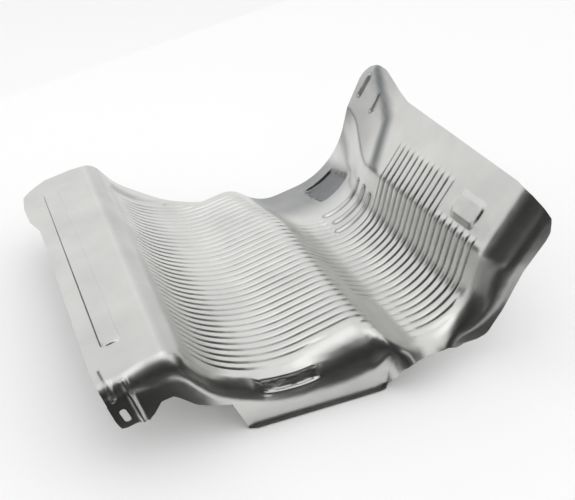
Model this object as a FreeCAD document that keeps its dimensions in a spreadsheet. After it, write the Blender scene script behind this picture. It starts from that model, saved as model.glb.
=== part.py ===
import FreeCAD, Part
import math
import os

# Fuel tank shield: one pressed aluminium sheet, built in millimetres.
# X runs across the ribs' length, minus Y is the front, Z is up.
V = FreeCAD.Vector
doc = FreeCAD.newDocument("fuel_tank_shield")
dims = doc.addObject("Spreadsheet::Sheet", "dims")

VALUES = [
    ("rib_pitch", 12.0, "distance from one cross rib to the next"),
    ("sheet_thick", 1.0, "sheet thickness"),
    ("rib_half", 1.1, "half the depth of a cross rib"),
    ("plate_slope", 15.0, "rise of the left plate towards the shoulder, degrees"),
    ("shoulder_rad", 26.0, "round shoulder beside the plate"),
    ("wall_slope", 50.0, "fall of the left wall, degrees"),
    ("wall_top_len", 10.0, "plain upper length of the left wall"),
    ("wall_low_len", 13.0, "lower length of the left wall"),
    ("haunch_rad", 95.0, "round between left wall and trough"),
    ("haunch_turn", 22.0, "degrees turned in the haunch"),
    ("trough_rad", 138.0, "round of the trough"),
    ("rise_slope", 15.0, "rise from the trough to the crest, degrees"),
    ("rise_len", 57.4, "length of the rise"),
    ("rise_len_back", 32.6, "the same at the back edge"),
    ("crest_rad", 42.0, "round of the crest"),
    ("flank_slope", 32.0, "fall behind the crest, degrees"),
    ("flank_len", 13.3, "length of that fall"),
    ("flank_len_back", 16.0, "the same at the back edge"),
    ("valley_rad", 63.4, "round of the valley"),
    ("floor_slope", 8.0, "rise of the valley floor, degrees"),
    ("floor_slope_back", 15.0, "the same at the back edge"),
    ("floor_len", 5.7, "length of the valley floor"),
    ("floor_len_back", 36.0, "the same at the back edge"),
    ("foot_slope", 45.0, "slope between the two rounds below the right wall, degrees"),
    ("foot_low_rad", 79.0, "lower round below the right wall"),
    ("foot_low_rad_back", 115.0, "the same at the back edge"),
    ("foot_rad", 53.0, "upper round below the right wall"),
    ("foot_rad_back", 120.0, "the same at the back edge"),
    ("steep_slope", 79.0, "slope of the right wall, degrees"),
    ("steep_len", 35.0, "height of the right wall along its slope"),
    ("steep_len_back", 32.0, "the same at the back edge"),
    ("bend_rad", 30.0, "round between right wall and panel"),
    ("panel_slope", 58.0, "slope of the right panel, degrees"),
    ("panel_slope_back", 66.0, "the same at the back edge"),
    ("panel_rib_len", 51.0, "ribbed length of the right panel along its slope"),
    ("panel_rib_back", 34.0, "the same at the back edge"),
    ("panel_top", 165.6, "front end of the panel's outer edge above the trough bottom"),
    ("panel_top_mid", 180.0, "the same where the flare starts"),
    ("flare_rows", 10.0, "rib number where the right wall starts to flare"),
    ("roll_row", 33.0, "rib number where the front roll starts"),
    ("roll_rad", 18.0, "round of the front roll"),
    ("skirt_turn", 60.0, "lean of the right front skirt, degrees"),
    ("hem_drop", 49.0, "hem of the hump below the trough bottom"),
    ("slot_wide", 7.0, "width of the bolt slot in the tab"),
    ("slot_long", 18.0, "length of the bolt slot in the tab"),
    ("slot_across", -175.0, "slot centre, X before the part is centred"),
    ("slot_height", 15.0, "slot centre, Z before the part is centred"),
    ("slot_lean", 19.0, "lean of the slot, degrees"),
    ("emboss_high", 1.2, "height of the flat embosses"),
    ("strip_long", 408.0, "length of the stiffening emboss on the plate"),
    ("strip_wide", 23.0, "width of the stiffening emboss on the plate"),
    ("strip_turn", 2.1, "turn of that emboss in plan, degrees"),
    ("strip_mid", -14.9, "its middle across, in rib pitches"),
    ("strip_row", 12.2, "its middle along, as a rib number"),
    ("badge_row", 27.8, "middle of the raised square, as a rib number"),
    ("badge_up", 28.0, "middle of the raised square above the bend"),
    ("badge_long", 48.0, "length of the raised square on the panel"),
    ("badge_wide", 33.0, "width of the raised square on the panel"),
]
for n, (alias, value, note) in enumerate(VALUES):
    dims.set("A%d" % (n + 1), note)
    dims.set("B%d" % (n + 1), str(value))
    dims.setAlias("B%d" % (n + 1), alias)
doc.recompute()


def dim(name):
    return float(dims.get(name))


PITCH = dim("rib_pitch")
THICK = dim("sheet_thick")
RIB = dim("rib_half")
ROLL = dim("roll_row")


def smooth(t):
    t = min(1.0, max(0.0, t))
    return t * t * (3.0 - 2.0 * t)


def mix(a, b, t):
    return a + (b - a) * t


# The section is a walk of straights and arcs, one leg after another. An arc
# says how many steps it takes.
def legs(flare):
    def either(name, back):
        return mix(dim(name), dim(back), flare)

    panel = either("panel_rib_len", "panel_rib_back")
    floor = either("floor_slope", "floor_slope_back")
    return [
        ("shoulder", "arc", dim("shoulder_rad"), -dim("plate_slope") - dim("wall_slope"), 6),
        ("wall_top", "line", dim("wall_top_len")),
        ("wall_low", "line", dim("wall_low_len")),
        ("haunch", "arc", dim("haunch_rad"), dim("haunch_turn"), 2),
        ("trough", "arc", dim("trough_rad"), dim("wall_slope") - dim("haunch_turn") + dim("rise_slope"), 6),
        ("rise", "line", either("rise_len", "rise_len_back")),
        ("crest", "arc", dim("crest_rad"), -dim("rise_slope") - dim("flank_slope"), 4),
        ("flank", "line", either("flank_len", "flank_len_back")),
        ("valley", "arc", dim("valley_rad"), dim("flank_slope") + floor, 4),
        ("floor", "line", either("floor_len", "floor_len_back")),
        ("foot_low", "arc", either("foot_low_rad", "foot_low_rad_back"), dim("foot_slope") - floor, 3),
        ("foot", "arc", either("foot_rad", "foot_rad_back"), dim("steep_slope") - dim("foot_slope"), 3),
        ("steep", "line", either("steep_len", "steep_len_back")),
        ("bend", "arc", dim("bend_rad"), either("panel_slope", "panel_slope_back") - dim("steep_slope"), 2),
        ("panel_low", "line", 0.18 * panel),
        ("panel_rib", "line", 0.71 * panel),
        ("panel_fade", "line", 0.11 * panel),
        ("panel_top", "rest", 0.0),
    ]


# The panel's outer edge rises to a round corner at the back.
EAR = [(-2.5, 14.4), (-2.0, 15.5), (-1.5, 16.0), (-1.0, 16.35), (0.0, 16.7), (1.0, 16.85), (2.5, 16.8), (5.0, 16.15),
       (7.5, 15.5)]


def edge_height(k):
    first, last = dim("flare_rows"), dim("roll_row")
    if k >= first:
        return mix(dim("panel_top_mid"), dim("panel_top"), (k - first) / (last - first))
    pts = EAR + [(first, dim("panel_top_mid") / PITCH)]
    for (k0, z0), (k1, z1) in zip(pts, pts[1:]):
        if k <= k1:
            return PITCH * mix(z0, z1, max(0.0, k - k0) / (k1 - k0))


def walk(k):
    flare = smooth((dim("flare_rows") - k) / (dim("flare_rows") - BACK))
    x, z, ang = 0.0, 0.0, dim("plate_slope")
    out = [(x, z, ang, "shoulder", 0.0)]
    low = None
    for leg in legs(flare):
        name = leg[0]
        if leg[1] == "rest":
            rest = edge_height(k) - (z - low[1])
            x += rest / math.tan(math.radians(ang))
            z += rest
            out.append((x, z, ang, name, 1.0))
        elif leg[1] == "line":
            x += leg[2] * math.cos(math.radians(ang))
            z += leg[2] * math.sin(math.radians(ang))
            out.append((x, z, ang, name, 1.0))
        else:
            rad, turn, count = leg[2], leg[3], leg[4]
            side = 1.0 if turn > 0 else -1.0
            a0 = math.radians(ang)
            cx = x - side * rad * math.sin(a0)
            cz = z + side * rad * math.cos(a0)
            if name == "trough":
                low = (cx, cz - rad)
            for i in range(1, count + 1):
                a = a0 + math.radians(turn) * i / count
                x = cx + side * rad * math.sin(a)
                z = cz - side * rad * math.cos(a)
                out.append((x, z, math.degrees(a), name, i / float(count)))
            ang += turn
    return [(px - low[0], pz - low[1], pa, pn, pt) for px, pz, pa, pn, pt in out]


BACK = -2.5
BASE = walk(ROLL)
FIRST = {}
LAST = {}
for i, st in enumerate(BASE):
    LAST[st[3]] = i
    if st[3] not in FIRST:
        FIRST[st[3]] = i - 1 if i > 0 else 0

# At the mouth of the valley the front edge bends down only a little and ends in
# a lip: for each station the share of the full roll and the length of the lip.
MOUTH = {}
for n, pair in enumerate([(1.0, 39.0), (0.7, 15.0), (0.38, 9.5), (0.33, 5.0), (0.33, 2.0), (0.3, 1.5), (0.33, 1.5),
                          (0.5, 2.0), (1.0, 10.8)]):
    MOUTH[LAST["crest"] + n] = pair

# Back edge in plan: where a row behind the last full one ends.
CUTS = [(-8.5, -5.0), (-7.5, -3.3), (-6.5, -2.1), (-5.5, -0.9), (-4.5, 0.6), (-4.0, 1.2), (-3.5, 1.8), (-3.0, 2.5)]


def back_row(x):
    p = x / PITCH
    pts = [(c[1], c[0]) for c in CUTS] + [(3.0, BACK)]
    if p <= pts[0][0]:
        return pts[0][1]
    for (x0, k0), (x1, k1) in zip(pts, pts[1:]):
        if p <= x1:
            return mix(k0, k1, (p - x0) / (x1 - x0))
    return BACK


# Rows beside the raised square have short ribs.
BADGE_ROWS = (24.0, 31.5)
# Ribs cross the crest and the valley from the first of these rows to the second,
# and climb the right wall from the third.
CROSS_ROWS = (11.5, 18.5)
WALL_ROW = 13.0
SHORT_ROW = 8.0
PATCH_ROW = 25.5


def right_rib(name, part, k):
    if name == "valley":
        if k <= PATCH_ROW:
            return 1.0 if k >= SHORT_ROW else 0.0
        return 1.0 if part == 1.0 else 0.0
    if name == "floor":
        return 1.0 if k >= SHORT_ROW else 0.0
    if name in ("panel_low", "panel_rib") and BADGE_ROWS[0] <= k <= BADGE_ROWS[1]:
        return 0.0
    if name in ("foot_low", "foot", "steep", "bend", "panel_low", "panel_rib"):
        return 1.0 if k >= WALL_ROW else 0.0
    return 0.0


def rib_height(st, k):
    if k > 32.1 or k < -4.2:
        return 0.0
    x, name, part = st[0], st[3], st[4]
    if name in ("wall_low", "haunch", "trough", "rise"):
        amount = 1.0
    elif name in ("crest", "flank"):
        across = CROSS_ROWS[0] <= k <= CROSS_ROWS[1]
        amount = 1.0 if across or (name == "crest" and part < 0.9) else 0.0
    else:
        amount = right_rib(name, part, k)
    amount *= min(1.0, max(0.0, (k - back_row(x) - 0.9) / 0.8))
    twice = int(round(2 * k))
    return RIB * amount * (1.0 if twice % 2 else -1.0)


def roll_part(i):
    return MOUTH[i][0] if i in MOUTH else 1.0


def roll_lean(i):
    name, part = BASE[i][3], BASE[i][4]
    full = dim("skirt_turn")
    if name == "foot_low" and part > 0.5:
        return full * (0.3 if part < 0.9 else 0.65)
    if name == "foot":
        return full * (0.65 + 0.35 * part)
    if name in ("steep", "bend", "panel_low", "panel_rib", "panel_fade", "panel_top"):
        return full
    return 0.0


# Every node keeps its point on the upper face, on the lower face and the
# direction of the section there.
nodes = {}


def put(key, top, normal, along):
    normal.normalize()
    nodes[key] = (top, top - normal * THICK, along)


def flat_node(i, k):
    key = ("s", i, k)
    if key not in nodes:
        st = rows[k][i]
        a = math.radians(st[2])
        n = V(-math.sin(a), 0, math.cos(a))
        top = V(st[0], -k * PITCH, st[1]) + n * rib_height(st, k)
        put(key, top, n, V(math.cos(a), 0, math.sin(a)))
    return key


def roll_point(x, z, ang, amount, lean, t):
    d = V(math.sin(math.radians(lean)), 0, -math.cos(math.radians(lean)))
    full = math.radians(90.0) * amount
    reach = dim("roll_rad") * math.pi / 2.0
    y0 = -ROLL * PITCH
    if full < 1e-4:
        ahead, down, psi = reach * t, 0.0, 0.0
    else:
        psi = full * t
        ahead = reach / full * math.sin(psi)
        down = reach / full * (1.0 - math.cos(psi))
    a = math.radians(ang)
    along = V(math.cos(a), 0, math.sin(a))
    go = d * math.sin(psi) + V(0, -math.cos(psi), 0)
    top = V(x, y0 - ahead, z) + d * down
    return top, go.cross(along), along


def roll_node(i, t):
    if t == 0.0:
        return flat_node(i, ROLL)
    key = ("r", i, t)
    if key not in nodes:
        st = BASE[i]
        put(key, *roll_point(st[0], st[1], st[2], roll_part(i), roll_lean(i), t))
    return key


def lip_node(i):
    key = ("m", i)
    if key not in nodes:
        st = BASE[i]
        top, normal, along = roll_point(st[0], st[1], st[2], roll_part(i), roll_lean(i), 1.0)
        psi, lean = math.radians(90.0 * roll_part(i)), math.radians(roll_lean(i))
        go = V(math.sin(lean), 0, -math.cos(lean)) * math.sin(psi) + V(0, -math.cos(psi), 0)
        put(key, top + go * MOUTH[i][1], normal, along)
    return key


edges = {}


def curve_edge(pts, start, end):
    if len(pts) == 2:
        return Part.LineSegment(pts[0], pts[1]).toShape()
    arc = Part.Arc(pts[0], pts[len(pts) // 2], pts[-1])
    if max(arc.value(arc.parameter(q)).distanceToPoint(q) for q in pts) < 1e-6:
        return arc.toShape()
    curve = Part.BSplineCurve()
    curve.interpolate(Points=pts, InitialTangent=start, FinalTangent=end)
    return curve.toShape()


def edge(keys):
    keys = tuple(keys)
    back = tuple(reversed(keys))
    if back in edges:
        return edges[back]
    if keys not in edges:
        pair = []
        for side in (0, 1):
            pts = [nodes[k][side] for k in keys]
            pair.append(curve_edge(pts, nodes[keys[0]][2], nodes[keys[-1]][2]))
        edges[keys] = {"top": pair[0], "low": pair[1], "uses": 0}
    return edges[keys]


faces = []


def strip(ea, eb, pa, pb):
    if len(pa) == 2 and len(pb) == 2:
        n = (pa[1] - pa[0]).cross(pb[0] - pa[0])
        n.normalize()
        if abs(n.dot(pb[1] - pa[0])) < 1e-6:
            return [Part.Face(Part.makePolygon([pa[0], pa[1], pb[1], pb[0], pa[0]]))]
        return [Part.Face(Part.makePolygon([pa[0], pa[1], pb[1], pa[0]])),
                Part.Face(Part.makePolygon([pa[0], pb[1], pb[0], pa[0]]))]
    if "Circle" in ea.Curve.TypeId and "Circle" in eb.Curve.TypeId:
        ca, cb = ea.Curve.Center, eb.Curve.Center
        if math.hypot(ca.x - cb.x, ca.z - cb.z) < 1e-6:
            u, v = pa[0] - ca, pa[-1] - ca
            turn = math.degrees(math.atan2(u.cross(v).y, u.dot(v)))
            return [Part.LineSegment(pa[0], pb[0]).toShape().revolve(ca, V(0, 1, 0), turn)]
    return [Part.makeRuledSurface(ea, eb)]


def ruled(keys_a, keys_b):
    ea, eb = edge(keys_a), edge(keys_b)
    for e in (ea, eb, edge((keys_a[0], keys_b[0])), edge((keys_a[-1], keys_b[-1]))):
        e["uses"] += 1
    for n, side in enumerate(("top", "low")):
        pa = [nodes[k][n] for k in keys_a]
        pb = [nodes[k][n] for k in keys_b]
        faces.extend(strip(ea[side], eb[side], pa, pb))


def flat(loops, holes=()):
    used = [edge(keys) for keys in loops]
    inner = [[edge(keys) for keys in hole] for hole in holes]
    for e in used + [e for hole in inner for e in hole]:
        e["uses"] += 1
    for side in ("top", "low"):
        wires = [Part.Wire(Part.__sortEdges__([e[side] for e in used]))]
        wires += [Part.Wire(Part.__sortEdges__([e[side] for e in hole])) for hole in inner]
        faces.append(Part.Face(wires) if len(wires) > 1 else Part.Face(wires[0]))


# An emboss is a raised loop inside a flat face, joined to it by narrow walls.
def emboss(name, centre, across, along, normal, wide, length, corner):
    base, raised = [], []
    high = dim("emboss_high")
    for less, lift, out in ((0.0, 0.0, base), (2.0, high, raised)):
        w, h, c = wide / 2.0 - less, length / 2.0 - less, corner
        spots = [(-w, -h + c), (-w, h - c), (-w + c, h), (w - c, h), (w, h - c), (w, -h + c), (w - c, -h), (-w + c, -h)]
        for n, (u, v) in enumerate(spots):
            key = (name, lift, n)
            put(key, centre + across * u + along * v + normal * lift, V(normal), across)
            out.append(key)
    low = list(zip(base, base[1:] + base[:1]))
    top = list(zip(raised, raised[1:] + raised[:1]))
    for a, b in zip(low, top):
        ruled(a, b)
    flat(top)
    return low


MAIN_BACK = [-8.5, -7.5, -6.5, -5.5, -4.5]
MAIN = [n / 2.0 for n in range(-8, 66)] + [ROLL]
FULL = [k for k in MAIN if k >= BACK]
rows = {}
for k in MAIN_BACK + MAIN:
    rows[k] = walk(k)
ENDS = dict(CUTS)


def run(first, last, k):
    return [flat_node(i, k) for i in range(FIRST[first], LAST[last] + 1)]


# Ribbed rounds are made of narrow flats, and only the plain shoulder is one round.
def spans(name):
    i0, i1 = FIRST[name], LAST[name]
    if name != "shoulder":
        return [(i, i + 1) for i in range(i0, i1)]
    return [(i0, i1)]


# Trough rows behind the last full row end at the slanted back edge.
def trough_row(k):
    if k not in ENDS:
        return run("trough", "trough", k)
    i0, i1 = FIRST["trough"], LAST["trough"]
    keys = [flat_node(i0, k)]
    x0, end, rad = rows[k][i0][0], ENDS[k] * PITCH, dim("trough_rad")
    for i in range(i0 + 1, i1 + 1):
        x = mix(x0, end, (i - i0) / float(i1 - i0))
        a = math.asin(x / rad)
        n = V(-math.sin(a), 0, math.cos(a))
        st = (x, rad - rad * math.cos(a), math.degrees(a), "trough", 0.5)
        key = ("b", i, k)
        put(key, V(x, -k * PITCH, st[1]) + n * rib_height(st, k), n, V(math.cos(a), 0, math.sin(a)))
        keys.append(key)
    return keys


order = MAIN_BACK + MAIN


def cells(row_a, row_b):
    for n in range(len(row_a) - 1):
        ruled(row_a[n:n + 2], row_b[n:n + 2])


for k0, k1 in zip(order, order[1:]):
    cells(run("wall_low", "haunch", k0), run("wall_low", "haunch", k1))
    cells(trough_row(k0), trough_row(k1))
PANEL = dim("flare_rows")
for k0, k1 in zip(FULL, FULL[1:]):
    cells(run("rise", "panel_low", k0), run("rise", "panel_low", k1))
    if k0 < BADGE_ROWS[0] or k1 > BADGE_ROWS[1]:
        cells(run("panel_rib", "panel_fade", k0), run("panel_rib", "panel_fade", k1))
    if k1 <= PANEL:
        cells(run("panel_top", "panel_top", k0), run("panel_top", "panel_top", k1))

# Plain shoulder and upper wall.
ruled(run("shoulder", "shoulder", -8.5), run("shoulder", "shoulder", ROLL))


def side_line(i, ks):
    return [(flat_node(i, a), flat_node(i, b)) for a, b in zip(ks, ks[1:])]


i0, i1 = FIRST["wall_top"], LAST["wall_top"]
flat([(flat_node(i0, -8.5), flat_node(i0, ROLL)), (flat_node(i0, -8.5), flat_node(i1, -8.5)),
      (flat_node(i0, ROLL), flat_node(i1, ROLL))] + side_line(i1, order))

# Upper part of the right panel, with the raised square.
tilt = math.radians(dim("panel_slope"))
panel_at = BASE[LAST["bend"]]
badge_mid = V(panel_at[0] + dim("badge_up") * math.cos(tilt), -dim("badge_row") * PITCH,
              panel_at[1] + dim("badge_up") * math.sin(tilt))
badge = emboss("badge", badge_mid, V(math.cos(tilt), 0, math.sin(tilt)), V(0, 1, 0),
               V(-math.sin(tilt), 0, math.cos(tilt)), dim("badge_wide"), dim("badge_long"), 4.0)
i0, i1, i2 = LAST["panel_low"], LAST["panel_fade"], LAST["panel_top"]
lo, hi = BADGE_ROWS
loop = side_line(i1, [k for k in FULL if PANEL <= k <= lo])
loop += side_line(i0, [k for k in FULL if lo <= k <= hi])
loop += side_line(i1, [k for k in FULL if k >= hi])
mid = LAST["panel_rib"]
for k in (lo, hi):
    loop += [(flat_node(i0, k), flat_node(mid, k)), (flat_node(mid, k), flat_node(i1, k))]
loop += [(flat_node(i1, PANEL), flat_node(i2, PANEL)), (flat_node(i1, ROLL), flat_node(i2, ROLL)),
         (flat_node(i2, PANEL), flat_node(i2, ROLL))]
flat(loop, [badge])

# Left plate with its own outline, as rib number and place across.
PLATE = [(-8.8, -12.6), (-8.8, -15.7), (-7.7, -17.4), (-6.3, -18.7), (-2.9, -18.9), (0.8, -18.6), (4.0, -17.7),
         (33.0, -16.6)]
slope = math.radians(dim("plate_slope"))
corner = BASE[0]


def plate_point(x):
    return corner[1] + (x - corner[0]) * math.tan(slope)


plate_keys = [flat_node(0, -8.5)]
for n, (k, p) in enumerate(PLATE):
    key = ("p", n)
    put(key, V(p * PITCH, -k * PITCH, plate_point(p * PITCH)), V(-math.sin(slope), 0, math.cos(slope)),
        V(math.cos(slope), 0, math.sin(slope)))
    plate_keys.append(key)
plate_keys.append(flat_node(0, ROLL))
strip_x = dim("strip_mid") * PITCH
swing = math.radians(dim("strip_turn"))
plate_across = V(math.cos(slope), 0, math.sin(slope))
strip_across = plate_across * math.cos(swing) + V(0, math.sin(swing), 0)
strip_along = V(0, math.cos(swing), 0) - plate_across * math.sin(swing)
stiffener = emboss("strip", V(strip_x, -dim("strip_row") * PITCH, plate_point(strip_x)), strip_across, strip_along,
                   V(-math.sin(slope), 0, math.cos(slope)), dim("strip_wide"), dim("strip_long"), 6.0)
flat(list(zip(plate_keys, plate_keys[1:])) + [(flat_node(0, -8.5), flat_node(0, ROLL))], [stiffener])

# Front roll, piece by piece along the section.
STEPS = [0.0, 0.25, 0.5, 0.75, 1.0]
PIECES = [(leg[0], piece) for leg in legs(0.0) for piece in spans(leg[0])]


def roll_row(piece, t):
    return [roll_node(i, t) for i in range(piece[1][0], piece[1][1] + 1)]


def plate_roll(t):
    if t == 0.0:
        return [plate_keys[-2], plate_keys[-1]]
    x = PLATE[-1][1] * PITCH
    key = ("q", t)
    if key not in nodes:
        put(key, *roll_point(x, plate_point(x), dim("plate_slope"), 1.0, 0.0, t))
    return [key, roll_node(0, t)]


for t0, t1 in zip(STEPS, STEPS[1:]):
    ruled(plate_roll(t0), plate_roll(t1))
    for piece in PIECES:
        ruled(roll_row(piece, t0), roll_row(piece, t1))

# Flat front skirts below the roll, given by their lower outline.
Y_FRONT = -ROLL * PITCH - dim("roll_rad")
HEM = -dim("hem_drop") / PITCH
LEFT_SKIRT = [(-15.4, 0.35), (-15.1, 0.0), (-14.7, -0.15), (-13.5, 0.2), (-12.7, 0.1), (-12.2, 0.55), (-11.5, 1.7),
              (-10.4, 1.9), (-9.6, 1.2), (-8.6, 0.3), (-7.4, -0.25), (-5.15, -0.9), (-4.2, HEM), (9.4, HEM),
              (10.0, -3.95)]
RIGHT_SKIRT = [(20.85, -1.3), (21.65, -0.9), (23.1, 1.6), (24.2, 4.2), (24.8, 5.6), (26.9, 8.6),
               (27.2, 9.4), (27.1, 10.4)]


def skirt(name, rows_in, before, after, outline):
    keys = list(before)
    for n, (px, pz) in enumerate(outline):
        key = (name, n)
        put(key, V(px * PITCH, Y_FRONT, pz * PITCH), V(0, -1, 0), V(1, 0, 0))
        keys.append(key)
    keys += after
    flat(rows_in + list(zip(keys, keys[1:])))


mouth_first, mouth_last = min(MOUTH), max(MOUTH)
for i in range(mouth_first, mouth_last):
    ruled([roll_node(i, 1.0), roll_node(i + 1, 1.0)], [lip_node(i), lip_node(i + 1)])
left_rows = [plate_roll(1.0)] + [roll_row(p, 1.0) for p in PIECES if p[1][1] <= mouth_first]
skirt("left_skirt", left_rows, [left_rows[0][0]], [lip_node(mouth_first), left_rows[-1][-1]], LEFT_SKIRT)
right_rows = [roll_row(p, 1.0) for p in PIECES if p[1][0] >= mouth_last]
skirt("right_skirt", right_rows, [right_rows[0][0], lip_node(mouth_last)], [right_rows[-1][-1]], RIGHT_SKIRT)

# Every edge met by one face only is a rim of the sheet.
for e in edges.values():
    if e["uses"] == 1:
        rim = Part.makeLoft([Part.Wire(e["top"]), Part.Wire(e["low"])], False, True)
        faces.extend(rim.Faces)

shell = Part.makeCompound(faces)
shell.sewShape()
if shell.ShapeType != "Shell":
    shells = shell.Shells
    print("sewn pieces", len(shells), shell.ShapeType)
    shell = max(shells, key=lambda s: len(s.Faces))
shell = Part.Shell(shell.Faces)
print("faces", len(shell.Faces), "closed", shell.isClosed())
body = Part.Solid(shell)
if body.Volume < 0:
    body.reverse()
blank = doc.addObject("Part::Feature", "pressed_sheet")
blank.Shape = body



# Bolt slot in the tab.
slot_bar = doc.addObject("Part::Box", "slot_bar")
slot_bar.setExpression("Length", "dims.slot_wide")
slot_bar.Width = 10.0
slot_bar.setExpression("Height", "dims.slot_long - dims.slot_wide")
slot_bar.setExpression("Placement.Base.x", "-dims.slot_wide / 2")
slot_bar.setExpression("Placement.Base.z", "-(dims.slot_long - dims.slot_wide) / 2")
slot_bar.Placement.Base.y = -5.0
ends = []
for name, sign in (("slot_top", "1"), ("slot_low", "-1")):
    end = doc.addObject("Part::Cylinder", name)
    end.setExpression("Radius", "dims.slot_wide / 2")
    end.Height = 10.0
    end.Placement = FreeCAD.Placement(V(0, 5.0, 0), FreeCAD.Rotation(V(1, 0, 0), 90))
    end.setExpression("Placement.Base.z", sign + " * (dims.slot_long - dims.slot_wide) / 2")
    ends.append(end)
slot = doc.addObject("Part::MultiFuse", "slot")
slot.Shapes = [slot_bar] + ends
slot.Placement = FreeCAD.Placement(V(0, 0, 0), FreeCAD.Rotation(V(0, 1, 0), -dim("slot_lean")))
slot.setExpression("Placement.Base.x", "dims.slot_across")
slot.setExpression("Placement.Base.y", "-dims.roll_row * dims.rib_pitch - dims.roll_rad")
slot.setExpression("Placement.Base.z", "dims.slot_height")

pressed = doc.addObject("Part::Cut", "pressed")
pressed.Base = blank
pressed.Tool = slot
doc.recompute()

# The origin goes to the middle of the underside of the bounding box.
shape = pressed.Shape.copy()
if shape.ShapeType != "Solid":
    shape = shape.Solids[0]
bounds = shape.BoundBox
move = V(-bounds.Center.x, -bounds.Center.y, -bounds.ZMin)
shape.translate(move)
final = doc.addObject("Part::Feature", "fuel_tank_shield")
final.Shape = shape
doc.recompute()

bad = []
for obj in doc.Objects:
    if "Invalid" in obj.State or "Error" in obj.State:
        bad.append(obj.Name + " state")
    if hasattr(obj, "Shape") and (obj.Shape.isNull() or not obj.Shape.isValid()):
        bad.append(obj.Name + " shape")
print("solids", len(pressed.Shape.Solids), "volume", round(final.Shape.Volume / 1000.0, 1), "cm3")
print("moved by", [round(c, 3) for c in move], "size", round(bounds.XLength, 1), round(bounds.YLength, 1), round(bounds.ZLength, 1))
slot_at = slot.Placement.Base + move
print("slot centre", [round(c, 3) for c in slot_at])
if bad:
    raise RuntimeError("not sound: " + ", ".join(bad))
os.makedirs("parts", exist_ok=True)
final.Shape.exportStep("parts/fuel_tank_shield.step")
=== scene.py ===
# %% [markdown]
# # Fuel tank shield
# The real thing is one thin aluminium sheet, pressed in a die. It keeps the heat of an exhaust away
# from a fuel tank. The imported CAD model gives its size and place, and this lesson dresses it:
# the sheet is modelled again with round ribs and soft folds, and gets a bright metal finish.

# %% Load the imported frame
import bpy
import bmesh
import math
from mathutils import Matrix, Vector


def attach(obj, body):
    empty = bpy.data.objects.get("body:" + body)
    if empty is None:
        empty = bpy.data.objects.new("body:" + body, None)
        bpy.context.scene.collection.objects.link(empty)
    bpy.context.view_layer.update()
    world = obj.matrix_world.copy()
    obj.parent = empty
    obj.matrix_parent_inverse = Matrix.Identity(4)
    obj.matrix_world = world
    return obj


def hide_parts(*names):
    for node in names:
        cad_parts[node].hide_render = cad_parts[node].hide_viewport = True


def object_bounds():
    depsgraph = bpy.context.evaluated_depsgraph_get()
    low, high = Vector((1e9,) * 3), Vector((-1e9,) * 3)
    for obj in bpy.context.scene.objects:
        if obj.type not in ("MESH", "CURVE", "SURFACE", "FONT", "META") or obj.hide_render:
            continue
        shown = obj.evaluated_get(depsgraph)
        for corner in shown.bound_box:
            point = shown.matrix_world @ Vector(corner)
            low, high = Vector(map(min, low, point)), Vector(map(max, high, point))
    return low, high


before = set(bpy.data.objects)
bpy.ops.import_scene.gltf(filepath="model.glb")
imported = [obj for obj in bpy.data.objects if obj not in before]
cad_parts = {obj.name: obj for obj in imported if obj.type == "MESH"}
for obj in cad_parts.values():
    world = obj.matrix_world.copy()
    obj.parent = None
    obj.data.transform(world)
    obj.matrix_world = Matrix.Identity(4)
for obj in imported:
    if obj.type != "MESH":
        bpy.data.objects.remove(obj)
cad_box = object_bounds()
print("CAD nodes", list(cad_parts), "box", [[round(c, 4) for c in corner] for corner in cad_box])

# %% [markdown]
# ## The section of the sheet
# Across the ribs the sheet has one section: a plate, a shoulder, a trough, a crest, a valley,
# a side wall and a panel. A press shop draws it as straights and arcs that meet smoothly,
# so it is walked here in the same way, leg by leg. At the back the crest moves in and the side wall
# flares out, so a few legs have a second value for the back edge.

# %% Section values
MM = 0.001
PITCH = 12.0 * MM
THICK = 1.0 * MM
RIB_HALF = 1.0 * MM
PLATE_SLOPE = 15.0
BACK_ROW = -2.5
FLARE_ROW = 10.0
ROLL_ROW = 33.0
ROLL_RADIUS = 18.0 * MM
SKIRT_LEAN = 60.0
# The walk starts at the trough bottom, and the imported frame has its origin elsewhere.
TO_FRAME = Vector((-49.8, 162.441, 49.0)) * MM

# Each leg: its name, then a straight's length or an arc's radius and turn, front value and back value.
LEGS = (
    ("shoulder", "arc", (26.0, 26.0), (-65.0, -65.0)),
    ("wall_top", "line", (10.0, 10.0), None),
    ("wall_low", "line", (13.0, 13.0), None),
    ("haunch", "arc", (95.0, 95.0), (22.0, 22.0)),
    ("trough", "arc", (138.0, 138.0), (43.0, 43.0)),
    ("rise", "line", (57.4, 32.6), None),
    ("crest", "arc", (42.0, 42.0), (-47.0, -47.0)),
    ("flank", "line", (13.3, 16.0), None),
    ("valley", "arc", (63.4, 63.4), (40.0, 47.0)),
    ("floor", "line", (5.7, 36.0), None),
    ("foot_low", "arc", (79.0, 115.0), (37.0, 30.0)),
    ("foot", "arc", (53.0, 120.0), (34.0, 34.0)),
    ("steep", "line", (35.0, 32.0), None),
    ("bend", "arc", (30.0, 30.0), (-21.0, -13.0)),
    ("panel_low", "line", (9.2, 6.1), None),
    ("panel_rib", "line", (36.2, 24.1), None),
    ("panel_fade", "line", (5.6, 3.8), None),
    ("panel_top", "line", (0.0, 0.0), None),
)
# Height of the panel's outer edge by rib number, with a round corner at the back.
PANEL_EDGE = ((-2.5, 14.4), (-2.3, 15.0), (-2.0, 15.5), (-1.5, 16.0), (-1.0, 16.35), (0.0, 16.7),
              (1.0, 16.85), (2.5, 16.8), (5.0, 16.15), (7.5, 15.5), (10.0, 15.0), (31.3, 13.9),
              (33.0, 13.5), (34.2, 13.1), (35.4, 12.6))


def mix(a, b, t):
    return a + (b - a) * t


def smooth(t):
    t = min(1.0, max(0.0, t))
    return t * t * (3.0 - 2.0 * t)


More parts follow.
